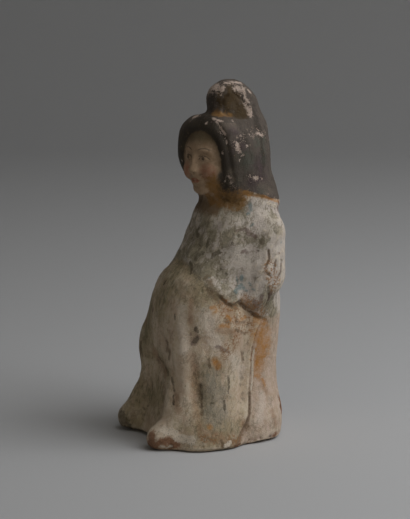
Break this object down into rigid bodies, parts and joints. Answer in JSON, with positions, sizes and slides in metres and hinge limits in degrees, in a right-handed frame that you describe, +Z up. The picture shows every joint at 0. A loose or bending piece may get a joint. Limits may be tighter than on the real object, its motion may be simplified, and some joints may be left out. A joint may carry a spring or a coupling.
{
  "type": "terracotta figure",
  "caption": "Painted terracotta figure of a seated lady, hands folded in wide sleeves, hair in a high forward knot, on a waisted stool, with a flat base.",
  "frame": {"origin": "on the flat underside, below the middle of the lap, 43 mm behind the shoe tips", "axes": "+Z up, -Y the way she faces, +X towards her left hand"},
  "size_m": [0.0914, 0.0952, 0.2171],
  "materials": {
    "painted_clay": "matt fired clay under worn white slip and earth pigments"
  },
  "bodies": {
    "root": {"seated_lady": "painted_clay"}
  },
  "joints": []
}
